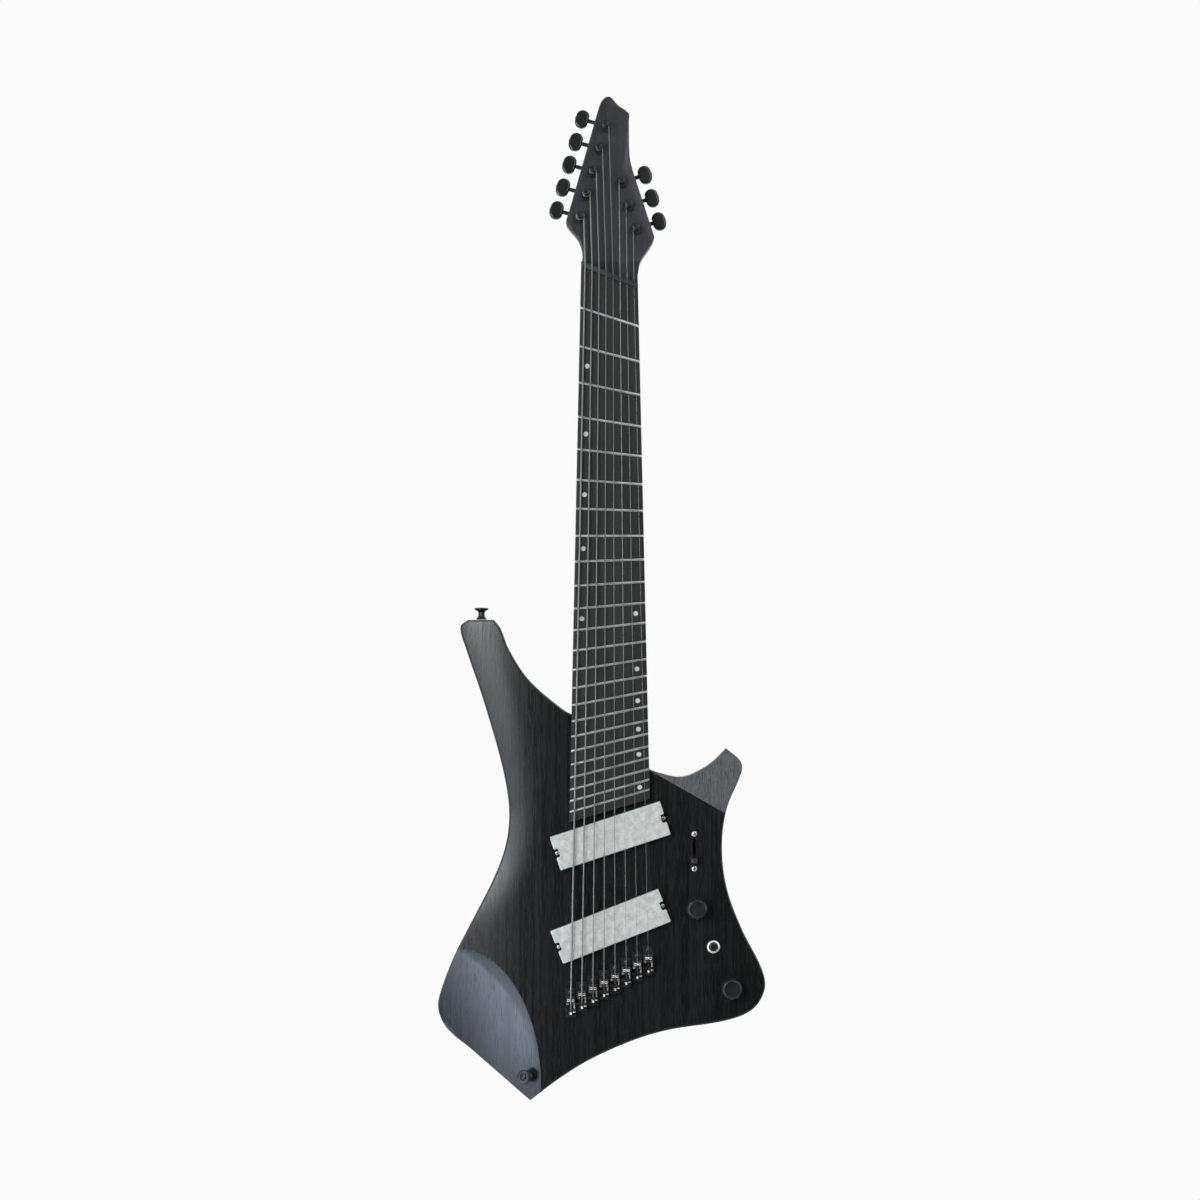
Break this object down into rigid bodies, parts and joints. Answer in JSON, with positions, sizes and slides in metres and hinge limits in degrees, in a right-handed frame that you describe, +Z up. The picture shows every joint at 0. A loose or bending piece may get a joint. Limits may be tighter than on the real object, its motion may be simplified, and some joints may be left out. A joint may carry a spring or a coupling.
{
  "type": "eight-string electric guitar",
  "caption": "Solid-body electric guitar with fanned frets, single-string bridges, two slanted humbuckers, angled headstock with sealed tuners, kill button and back-mounted battery bay.",
  "frame": {"origin": "on the flat back of the body, on the centreline behind the middle of the bridge line", "axes": "+Z up the neck to the headstock, +X to the thinnest string's side, front towards -Y, back towards +Y"},
  "size_m": [0.3165, 0.0643, 0.9716],
  "materials": {
    "stained_body": "open-pored black stain, satin",
    "neck_wood": "dark stain, satin",
    "dark_board": "oiled dark hardwood with bright frets",
    "nut_fibre": "black self-lubricating fibre",
    "pickup_cover": "pale satin metal",
    "black_metal": "black plated, satin",
    "bright_metal": "bright plated",
    "black_plastic": "black moulded plastic",
    "battery_case": "plain dark sleeve",
    "string_steel": "plain and wound steel"
  },
  "bodies": {
    "instrument": {"body": "stained_body", "neck": "neck_wood", "fretboard": "dark_board", "nut": "nut_fibre", "neck_pickup": "pickup_cover", "bridge_pickup": "pickup_cover", "control_cover": "black_plastic", "battery": "battery_case", "output_jack": "bright_metal", "strap_button_upper": "black_metal", "strap_button_lower": "black_metal", "selector_switch": "black_plastic", "kill_switch": "bright_metal", "volume_pot": "bright_metal", "tone_pot": "bright_metal", "tuner_housing_1": "black_metal", "string_1": "string_steel", "bridge_1": "black_metal", "tuner_housing_2": "black_metal", "string_2": "string_steel", "bridge_2": "black_metal", "tuner_housing_3": "black_metal", "string_3": "string_steel", "bridge_3": "black_metal", "tuner_housing_4": "black_metal", "string_4": "string_steel", "bridge_4": "black_metal", "tuner_housing_5": "black_metal", "string_5": "string_steel", "bridge_5": "black_metal", "tuner_housing_6": "black_metal", "string_6": "string_steel", "bridge_6": "black_metal", "tuner_housing_7": "black_metal", "string_7": "string_steel", "bridge_7": "black_metal", "tuner_housing_8": "black_metal", "string_8": "string_steel", "bridge_8": "black_metal"},
    "volume_knob": {"volume_knob": "black_metal"},
    "tone_knob": {"tone_knob": "black_metal"},
    "kill_button": {"kill_button": "black_plastic"},
    "selector_lever": {"selector_lever": "black_metal"},
    "battery_door": {"battery_cover": "black_plastic"},
    "tuner_post_1": {"tuner_post_1": "black_metal"},
    "tuner_button_1": {"tuner_button_1": "black_metal"},
    "tuner_post_2": {"tuner_post_2": "black_metal"},
    "tuner_button_2": {"tuner_button_2": "black_metal"},
    "tuner_post_3": {"tuner_post_3": "black_metal"},
    "tuner_button_3": {"tuner_button_3": "black_metal"},
    "tuner_post_4": {"tuner_post_4": "black_metal"},
    "tuner_button_4": {"tuner_button_4": "black_metal"},
    "tuner_post_5": {"tuner_post_5": "black_metal"},
    "tuner_button_5": {"tuner_button_5": "black_metal"},
    "tuner_post_6": {"tuner_post_6": "black_metal"},
    "tuner_button_6": {"tuner_button_6": "black_metal"},
    "tuner_post_7": {"tuner_post_7": "black_metal"},
    "tuner_button_7": {"tuner_button_7": "black_metal"},
    "tuner_post_8": {"tuner_post_8": "black_metal"},
    "tuner_button_8": {"tuner_button_8": "black_metal"}
  },
  "joints": [
    {"name": "tuner_button_1_turn", "type": "hinge", "parent": "instrument", "child": "tuner_button_1", "pos_m": [0.02418, -0.01878, 0.72187], "axis": [0.9588, 0.0469, 0.2801], "continuous": true},
    {"name": "tuner_button_2_turn", "type": "hinge", "parent": "instrument", "child": "tuner_button_2", "pos_m": [0.01736, -0.01498, 0.74457], "axis": [0.9588, 0.0469, 0.2801], "continuous": true},
    {"name": "tuner_button_3_turn", "type": "hinge", "parent": "instrument", "child": "tuner_button_3", "pos_m": [0.01055, -0.01118, 0.76727], "axis": [0.9588, 0.0469, 0.2801], "continuous": true},
    {"name": "tuner_button_4_turn", "type": "hinge", "parent": "instrument", "child": "tuner_button_4", "pos_m": [-0.00248, -0.00197, 0.82229], "axis": [-0.9646, 0.0436, 0.2603], "continuous": true},
    {"name": "tuner_button_5_turn", "type": "hinge", "parent": "instrument", "child": "tuner_button_5", "pos_m": [-0.00866, -0.0057, 0.80003], "axis": [-0.9646, 0.0436, 0.2603], "continuous": true},
    {"name": "tuner_button_6_turn", "type": "hinge", "parent": "instrument", "child": "tuner_button_6", "pos_m": [-0.01483, -0.00942, 0.77777], "axis": [-0.9646, 0.0436, 0.2603], "continuous": true},
    {"name": "tuner_button_7_turn", "type": "hinge", "parent": "instrument", "child": "tuner_button_7", "pos_m": [-0.02101, -0.01315, 0.75551], "axis": [-0.9646, 0.0436, 0.2603], "continuous": true},
    {"name": "tuner_button_8_turn", "type": "hinge", "parent": "instrument", "child": "tuner_button_8", "pos_m": [-0.02718, -0.01688, 0.73325], "axis": [-0.9646, 0.0436, 0.2603], "continuous": true},
    {"name": "tuner_post_1_turn", "type": "hinge", "parent": "instrument", "child": "tuner_post_1", "pos_m": [0.0256, -0.04008, 0.72058], "axis": [0, -0.9863, 0.165], "continuous": true},
    {"name": "tuner_post_2_turn", "type": "hinge", "parent": "instrument", "child": "tuner_post_2", "pos_m": [0.01878, -0.03629, 0.74328], "axis": [0, -0.9863, 0.165], "continuous": true},
    {"name": "tuner_post_3_turn", "type": "hinge", "parent": "instrument", "child": "tuner_post_3", "pos_m": [0.01197, -0.03249, 0.76597], "axis": [0, -0.9863, 0.165], "continuous": true},
    {"name": "tuner_post_4_turn", "type": "hinge", "parent": "instrument", "child": "tuner_post_4", "pos_m": [-0.0038, -0.02329, 0.82096], "axis": [0, -0.9863, 0.165], "continuous": true},
    {"name": "tuner_post_5_turn", "type": "hinge", "parent": "instrument", "child": "tuner_post_5", "pos_m": [-0.00998, -0.02701, 0.7987], "axis": [0, -0.9863, 0.165], "continuous": true},
    {"name": "tuner_post_6_turn", "type": "hinge", "parent": "instrument", "child": "tuner_post_6", "pos_m": [-0.01615, -0.03073, 0.77644], "axis": [0, -0.9863, 0.165], "continuous": true},
    {"name": "tuner_post_7_turn", "type": "hinge", "parent": "instrument", "child": "tuner_post_7", "pos_m": [-0.02233, -0.03446, 0.75418], "axis": [0, -0.9863, 0.165], "continuous": true},
    {"name": "tuner_post_8_turn", "type": "hinge", "parent": "instrument", "child": "tuner_post_8", "pos_m": [-0.0285, -0.03818, 0.73192], "axis": [0, -0.9863, 0.165], "continuous": true},
    {"name": "volume_turn", "type": "hinge", "parent": "instrument", "child": "volume_knob", "pos_m": [0.0845, 0, 0.064], "axis": [0, -1, 0], "range_deg": [-150, 150]},
    {"name": "tone_turn", "type": "hinge", "parent": "instrument", "child": "tone_knob", "pos_m": [0.1182, 0, -0.0134], "axis": [0, -1, 0], "range_deg": [-150, 150]},
    {"name": "selector_swing", "type": "hinge", "parent": "instrument", "child": "selector_lever", "pos_m": [0.082, -0.026, 0.1193], "axis": [-1, 0, 0], "range_deg": [0, 40]},
    {"name": "kill_press", "type": "slide", "parent": "instrument", "child": "kill_button", "axis": [0, 1, 0], "range_m": [0, 0.0015], "stiffness_N_per_m": 300, "springref_m": -0.002},
    {"name": "battery_door_swing", "type": "hinge", "parent": "instrument", "child": "battery_door", "pos_m": [0.038, -0.0011, -0.02815], "axis": [-1, 0, 0], "range_deg": [0, 110]}
  ],
  "couplings": [
    {"joint": "tuner_post_1_turn", "follows": "tuner_button_1_turn", "ratio": 0.0625},
    {"joint": "tuner_post_2_turn", "follows": "tuner_button_2_turn", "ratio": 0.0625},
    {"joint": "tuner_post_3_turn", "follows": "tuner_button_3_turn", "ratio": 0.0625},
    {"joint": "tuner_post_4_turn", "follows": "tuner_button_4_turn", "ratio": 0.0625},
    {"joint": "tuner_post_5_turn", "follows": "tuner_button_5_turn", "ratio": 0.0625},
    {"joint": "tuner_post_6_turn", "follows": "tuner_button_6_turn", "ratio": 0.0625},
    {"joint": "tuner_post_7_turn", "follows": "tuner_button_7_turn", "ratio": 0.0625},
    {"joint": "tuner_post_8_turn", "follows": "tuner_button_8_turn", "ratio": 0.0625}
  ]
}
